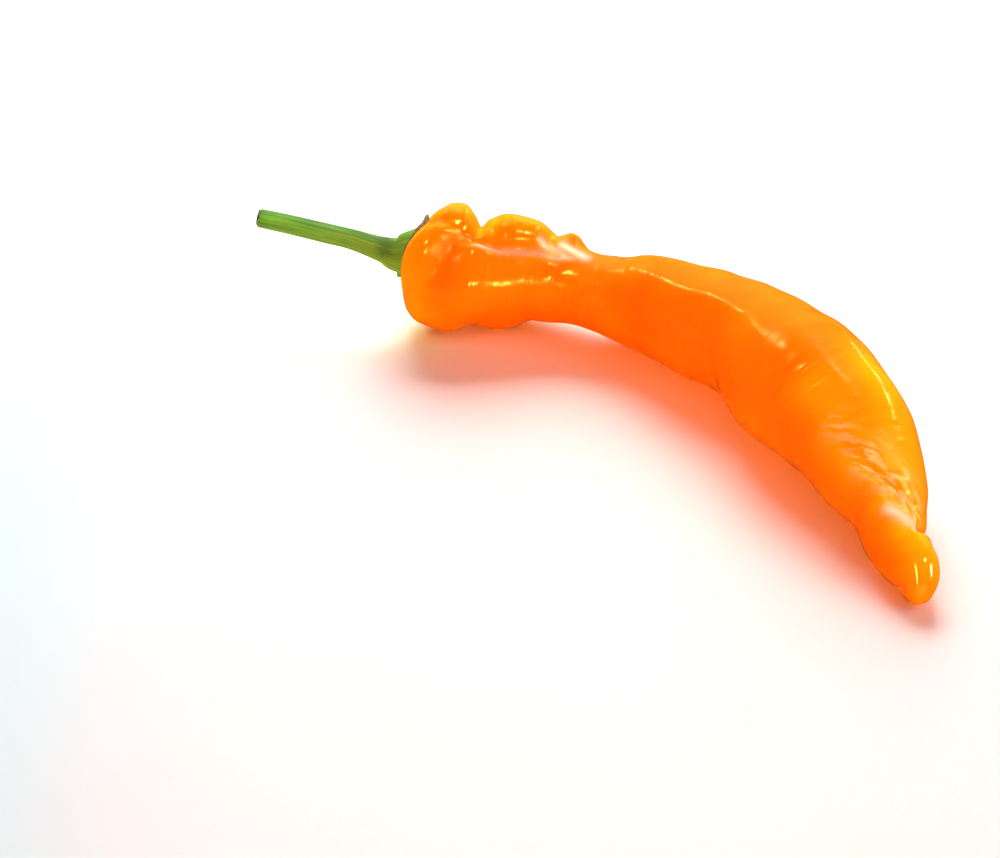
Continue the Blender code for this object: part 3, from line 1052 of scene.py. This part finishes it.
@dataclass
class Calyx:
    """Green sepal cup that fills the dimple and flares from the stem to its lobed rim."""

    stalk: Stalk
    node: str = "calyx"
    around: int = 144
    rows: int = 60
    sepals: int = 6
    sepal_reach: float = 0.45  # mm
    sepal_fade: float = 3.0
    rim_radius: float = 9.0
    # radius and depth below the seat plane
    underside: tuple[tuple[float, float], ...] = (
        (9.45, 1.35),
        (8.6, 2.15),
        (6.3, 3.2),
        (2.9, 4.95),
        (1.2, 5.45),
    )
    # painted shade of the cup: a little all over, more on the upper side and at the collar
    plain_shade: float = 0.02
    upper_shade: float = 0.05
    collar_shade: float = 0.2

    def surface(self) -> tuple[Array, Array]:
        """Rings from the collar over the rim and back under it.

        The upper side is the stalk's radius with a cosine wave of sepals at the rim.

        Returns:
            Points, and each ring's distance from the rim, below 0 on the underside.
        """
        top = self.stalk.knots()[self.stalk.cup_stations - 1]
        at = np.linspace(top, 0.0, self.rows)
        centre, out, radius = self.stalk.rings(at, self.around)
        angle = ring_angles(self.around)
        wave = self.sepal_reach * np.cos(self.sepals * angle)
        reach = (1.0 - smooth(at / self.sepal_fade))[:, None] * wave
        upper = centre[:, None] + out * (radius + reach)[..., None]
        side, up = frames(self.stalk.seat)
        flat = side * np.cos(angle)[:, None] + up * np.sin(angle)[:, None]
        sizes, depths = (np.array(values)[:, None] for values in zip(*self.underside))
        sizes = sizes + np.where(sizes > self.rim_radius, wave, 0.0)
        middles = self.stalk.foot - self.stalk.seat * depths
        lower = middles[:, None] + flat * sizes[..., None]
        below = -np.arange(1.0, len(self.underside) + 1.0)
        return np.concatenate([upper, lower]), np.concatenate([at, below])

    def build(self) -> None:
        """Makes the cup and dresses it in fresh green."""
        rings, at = self.surface()
        shade = self.plain_shade + self.upper_shade * np.sin(ring_angles(self.around))
        self.stalk.clothe("calyx_cup", self.node, rings, at, self.collar_shade, shade)


@dataclass
class Stem:
    """Cut green stem with low ribs."""

    stalk: Stalk
    node: str = "stem"
    gap: float = 0.02  # mm
    rows: int = 150
    around: int = 112
    ribs: int = 7
    rib_depth: float = 0.035  # share of the radius
    rib_fade: float = 6.0  # mm
    rounding: float = 1.2
    rounding_rows: int = 7
    top_edge: float = 0.6  # sine at which the painted shade of the top starts
    # painted shade on the stem's top and at its collar
    top_shade: float = 0.2
    collar_shade: float = 0.4

    def surface(self) -> tuple[Array, Array]:
        """Rings from the collar to the cut end.

        Each is a circle with a cosine wave of ribs, and a quarter circle rounds the end.

        Returns:
            Points, and each ring's distance from the cup's rim.
        """
        knots = self.stalk.knots()
        start = knots[self.stalk.cup_stations - 1] + self.gap
        turn = np.linspace(0.0, math.pi / 2, self.rounding_rows)[1:]
        plain = np.linspace(start, knots[-1] - self.rounding, self.rows)
        at = np.append(plain, knots[-1] - self.rounding * (1.0 - np.sin(turn)))
        centre, out, radius = self.stalk.rings(at, self.around)
        depth = self.rib_depth * smooth((at - start) / self.rib_fade)[:, None]
        size = radius * (1.0 + depth * np.cos(self.ribs * ring_angles(self.around)))
        size[-len(turn) :] -= self.rounding * (1.0 - np.cos(turn))[:, None]
        return centre[:, None] + out * size[..., None], at

    def build(self) -> None:
        """Makes the stem and dresses it in fibrous green."""
        rings, at = self.surface()
        shade = self.top_shade * beyond(np.sin(ring_angles(self.around)), self.top_edge)
        self.stalk.clothe("stem_stalk", self.node, rings, at, self.collar_shade, shade)


@dataclass
class Strand:
    """Closed flattened tube along a path, tapered and uneven, for bits of dry tissue."""

    path: Array  # mm
    out: Array  # flat side's direction
    half_width: float  # mm
    half_thickness: float
    seed: int = 4
    uneven: float = 0.18  # share of the size
    least: float = 0.02  # share of the size left at both ends
    rows: int = 90
    around: int = 20

    def surface(self) -> Array:
        """Rings of an ellipse whose size swells from both ends and wavers on the way."""
        knots = lengths(self.path)
        at = np.linspace(0.0, knots[-1], self.rows)
        centre = spline(at, knots, self.path)
        ahead = unit(np.gradient(centre, axis=0))
        wide = unit(np.cross(ahead, self.out))
        thick = np.cross(wide, ahead)
        share = at / knots[-1]
        swell = np.sqrt(np.clip(1.0 - (2.0 * share - 1.0) ** 4, 0.0, 1.0))
        angle = ring_angles(self.around)[None, :]
        waves = Waves(
            self.uneven, shortest=0.8, longest=5.0, most_round=2, count=10, seed=self.seed
        )
        waver = 1.0 + waves.height(at[:, None], np.degrees(angle))
        size = (np.maximum(swell, self.least)[:, None] * waver)[..., None]
        across = wide[:, None] * (self.half_width * np.cos(angle))[..., None]
        above = thick[:, None] * (self.half_thickness * np.sin(angle))[..., None]
        return centre[:, None] + size * (across + above)

    def build(self, name: str, finish: bpy.types.Material, slot: str) -> None:
        """Makes the strand and dresses it.

        Args:
            name: piece's name.
            finish: its material.
            slot: not used.
        """
        along = np.linspace(0.0, lengths(self.path)[-1], self.rows)[:, None]
        skin = unrolled(along, ring_angles(self.around), 1.0)
        dress(closed_grid(name, self.surface(), {"skin": skin}), finish)


@dataclass
class Sepals:
    """What is left of the sepals on the pod's rim: a dry brown edge and a fresh point."""

    pod: Pod
    out: Array  # direction out of the dimple
    node: str = "calyx"
    rim_share: float = 0.7  # share of the pod's radius at which they lie
    # degrees round the pod from and to, and the number of points
    dry_span: tuple[float, float, int] = (72.0, 168.0, 16)
    dry_lift: float = 1.3  # mm off the skin
    fresh_span: tuple[float, float, int] = (66.0, 88.0, 8)
    fresh_lift: float = 1.9

    def build(self) -> None:
        """Makes both strands and dresses them."""
        dry = DryTissue("dried_sepal_edge", "#8d7450", "#4a2f2a", 0.8).build()
        edge = self.pod.rim(self.rim_share, np.linspace(*self.dry_span), self.dry_lift)
        Strand(edge, self.out, 0.6, 0.9).build("sepal_dry_edge", dry, self.node)
        fresh = FreshGreen("grown_green_sepal").build()
        point = self.pod.rim(self.rim_share, np.linspace(*self.fresh_span), self.fresh_lift)
        Strand(point, self.out, 0.75, 0.5, seed=9).build("sepal_point", fresh, self.node)


@dataclass
class CutEnd:
    """Dried cut face of the stem: a thin ragged cap over its rounded end."""

    stem: Stem
    first: float = 38.0  # degrees round the rounded end where the cap's torn edge lies
    edge_rows: int = 6
    stand_off: float = 0.07  # mm
    sunken: float = 0.35  # mm, the pith inside the rim
    # share of the rim's radius and of the sunken depth
    pith: tuple[tuple[float, float], ...] = ((0.8, 0.3), (0.55, 1.0), (0.1, 1.0))
    torn: Waves = Waves(0.28, shortest=50.0, longest=90.0, most_round=9, count=9, seed=6)

    def surface(self) -> Array:
        """Rings from under the cap's torn edge over its rim to the sunken pith."""
        stalk, around, bend = self.stem.stalk, self.stem.around, self.stem.rounding
        tear = self.torn.height(np.zeros(1), np.degrees(ring_angles(around)))
        centre, out, radius = stalk.rings(stalk.knots()[-1:], around)
        ahead = np.cross(out[0, 0], out[0, around // 4])
        rings = []
        for turn in np.radians([self.first, *np.linspace(self.first, 90.0, self.edge_rows)]):
            off = self.stand_off if rings else -self.stand_off
            torn = tear * math.cos(turn)
            size = radius[0, 0] - bend * (1.0 - math.cos(turn)) + off * math.cos(turn)
            size = size - torn * math.sin(turn)
            reach = -bend * (1.0 - math.sin(turn)) + off * math.sin(turn) + torn
            rings.append(centre + out[0] * size[:, None] + ahead * reach[:, None])
        for share, depth in self.pith:
            size = (radius[0, 0] - bend) * share
            rings.append(centre + out[0] * size - ahead * (self.sunken * depth))
        return np.array(rings)

    def build(self) -> None:
        """Makes the cap and dresses it in dried tissue."""
        cap = closed_grid("stem_cut_face", self.surface(), {})
        dress(cap, DryTissue("dried_cut_stalk", "#2c2216", "#0e0b08", 0.9).build())


# ---- Studio ----


class Sheds(Enum):
    """What a lamp gives: it can be kept out of reflections, or seen in them alone."""

    LIGHT = "light"
    HIGHLIGHT = "highlight"


@dataclass(frozen=True)
class Softbox:
    """Square lamp behind a diffuser, aimed at the object."""

    name: str
    sheds: Sheds
    azimuth: float  # degrees, as for the camera
    elevation: float
    distance: float  # m
    size: float  # m
    power: float  # W
    colour: str = "#ffffff"
    spread: float = 180.0  # degrees
    aside: tuple[float, float] = (0.0, 0.0)  # mm in x and y from the camera's target

    def build(self, target: Vector) -> None:
        """Hangs the lamp and aims it.

        Args:
            target: what the camera looks at, in m.
        """
        lamp = bpy.data.lights.new(self.name, "AREA")
        lamp.shape = "SQUARE"
        lamp.size = self.size
        lamp.energy = self.power
        lamp.color = linear(self.colour)[:3]
        lamp.spread = math.radians(self.spread)
        holder = bpy.data.objects.new(self.name, lamp)
        holder.visible_glossy = self.sheds is Sheds.HIGHLIGHT
        holder.visible_diffuse = self.sheds is Sheds.LIGHT
        target = target + Vector((*self.aside, 0.0)) * MM
        hang(holder, target, self.azimuth, self.elevation, self.distance)


def hang(
    holder: bpy.types.Object, target: Vector, azimuth: float, elevation: float, distance: float
) -> None:
    """Adds a lamp or camera to the scene and turns it to the target.

    Args:
        holder: lamp's or camera's object.
        target: place that it looks at, in m.
        azimuth: degrees round the target, 0 in front (-Y) and 90 to the right (+X).
        elevation: degrees above the floor.
        distance: m from the target.
    """
    a, e = math.radians(azimuth), math.radians(elevation)
    away = Vector((math.sin(a) * math.cos(e), -math.cos(a) * math.cos(e), math.sin(e)))
    holder.location = target + away * distance
    holder.rotation_euler = (target - holder.location).to_track_quat("-Z", "Y").to_euler()
    bpy.context.scene.collection.objects.link(holder)


@dataclass
class Studio:
    """White table under soft light, and the camera."""

    aim: tuple[float, float, float] = (-17.0, -42.5, 0.0)  # mm, what the camera looks at
    azimuth: float = 44.0
    elevation: float = 32.0
    distance: float = 0.625  # m
    lens: float = 75.0  # mm on a 36 mm sensor
    nearest: float = 0.01  # m from the lens that it still shows
    floor_size: float = 6.0  # m
    floor_drop: float = 0.05  # mm below the object, so that the two never touch
    sky: float = 0.12  # strength of the even light from all round
    wall_gloss: float = 0.45  # strength of the walls in the gloss
    floor_gloss: float = 1.8  # what the gloss sees below the horizon, as a share of the walls
    bounce: str = "#ff6a10"  # light the fruit has thrown on the table, seen in its own gloss
    wall_tone: str = "#ffc668"  # the walls as the yellow wax mirrors them
    ceiling_gloss: float = 0.05
    wall_top: float = 0.35  # sine of the walls' highest elevation
    horizon_blur: float = 0.2  # sine of the depth over which the walls turn into the table
    lamps: tuple[Softbox, ...] = (
        Softbox("key_light", Sheds.LIGHT, 222.0, 30.0, 1.3, 0.9, 44.0),
        Softbox("side_light", Sheds.LIGHT, 120.0, 32.0, 1.2, 0.8, 4.0),
        Softbox(
            "gold_reflector", Sheds.LIGHT, 35.0, 26.0, 0.6, 0.2, 0.31, "#ff6816", 24.0, (40.0, 30.0)
        ),
        Softbox(
            "stem_fill", Sheds.LIGHT, -30.0, 50.0, 0.6, 0.05, 0.009, "#b4ff70", 6.0, (-92.0, 24.0)
        ),
        Softbox("top_reflection", Sheds.HIGHLIGHT, 120.0, 60.0, 6.0, 0.6, 260.0),
        Softbox("knob_reflection", Sheds.HIGHLIGHT, 18.0, 61.0, 6.0, 0.5, 160.0),
        Softbox("side_reflection", Sheds.HIGHLIGHT, 76.0, 28.0, 6.0, 0.6, 230.0),
        Softbox("fore_reflection", Sheds.HIGHLIGHT, 45.0, 31.0, 6.0, 0.5, 90.0),
        Softbox("near_reflection", Sheds.HIGHLIGHT, -28.0, 43.0, 6.0, 0.4, 14.0),
        Softbox("left_reflection", Sheds.HIGHLIGHT, -8.0, 5.0, 6.0, 0.5, 10.0),
        Softbox("ridge_reflection", Sheds.HIGHLIGHT, -97.0, 42.0, 6.0, 0.6, 75.0, "#ffdc94"),
        Softbox("back_reflection", Sheds.HIGHLIGHT, -140.0, 60.0, 6.0, 0.25, 14.0),
        Softbox("far_reflection", Sheds.HIGHLIGHT, 172.0, 32.0, 6.0, 0.5, 30.0, "#ffdc94"),
        Softbox("right_reflection", Sheds.HIGHLIGHT, -172.0, 20.0, 6.0, 0.5, 22.0, "#ffdc94"),
        Softbox("tip_reflection", Sheds.HIGHLIGHT, 127.0, 29.0, 6.0, 0.6, 220.0),
    )

    def build(self) -> None:
        """Makes the floor, lamps, room and camera."""
        scene = bpy.context.scene
        half, drop = self.floor_size / 2, self.floor_drop * MM
        corners = [(-half, -half), (half, -half), (half, half), (-half, half)]
        mesh = bpy.data.meshes.new("table_top")
        mesh.from_pydata([(x, y, -drop) for x, y in corners], [], [(0, 1, 2, 3)])
        mesh.materials.append(PaintedFloor().build())
        floor = bpy.data.objects.new("table_top", mesh)
        scene.collection.objects.link(floor)
        floor.visible_glossy = False
        target = Vector((np.array(self.aim) + PLACE) * MM)
        for lamp in self.lamps:
            lamp.build(target)
        scene.world = bpy.data.worlds.new("white_room")
        scene.world.use_nodes = True
        self.light_room(scene.world.node_tree)
        scene.view_settings.view_transform = "Standard"
        lens = bpy.data.cameras.new("camera")
        lens.lens = self.lens
        lens.clip_start = self.nearest
        scene.camera = bpy.data.objects.new("camera", lens)
        hang(scene.camera, target, self.azimuth, self.elevation, self.distance)

    def light_room(self, tree: Tree) -> None:
        """White walls that light everything evenly, with a ceiling that looks dark in gloss.

        The gloss sees the lit walls near the horizon and little of what is above them.

        Args:
            tree: world's node tree.
        """
        up = add(tree, "TexCoord", out="Generated")
        height = add(tree, "SeparateXYZ", links={0: up}, out="Z")
        span = {"From Max": self.wall_top, "To Min": self.wall_gloss, "To Max": self.ceiling_gloss}
        walls = add(tree, "MapRange", span, {"Value": height})
        span = {"From Min": -self.horizon_blur, "From Max": 0.0}
        above = add(tree, "MapRange", span, {"Value": height})
        span = {"To Min": self.floor_gloss, "To Max": 1.0}
        below = add(tree, "MapRange", span, {"Value": above})
        seen = add(tree, "Math", links={0: walls, 1: below}, operation="MULTIPLY")
        tones = {COLOUR_A: linear(self.bounce), COLOUR_B: linear(self.wall_tone)}
        warm = add(tree, "Mix", tones, {0: above}, COLOUR, data_type="RGBA")
        gloss = add(tree, "LightPath", out="Is Glossy Ray")
        white, links = {COLOUR_A: linear("#ffffff")}, {0: gloss, COLOUR_B: warm}
        colour = add(tree, "Mix", white, links, COLOUR, data_type="RGBA")
        even, links = {NUMBER_A: self.sky}, {0: gloss, NUMBER_B: seen}
        strength = add(tree, "Mix", even, links, data_type="FLOAT")
        background = tree.nodes["Background"].inputs
        tree.links.new(colour, background["Color"])
        tree.links.new(strength, background["Strength"])


# ---- Order of work ----


def main() -> None:
    """Builds the pepper and its studio in order and reports each piece."""
    logging.basicConfig(level=logging.INFO, format="%(name)s: %(message)s")
    pod = Pod()
    stalk = Stalk(foot=np.array(pod.stations[0][:3]), seat=-pod.axis(np.zeros(1))[1][0])
    stem = Stem(stalk)
    for part in (pod, Calyx(stalk), stem, CutEnd(stem), Sepals(pod, stalk.seat), Studio()):
        part.build()
        log.info("%s: built", type(part).__name__)


if __name__ == "__main__":
    main()
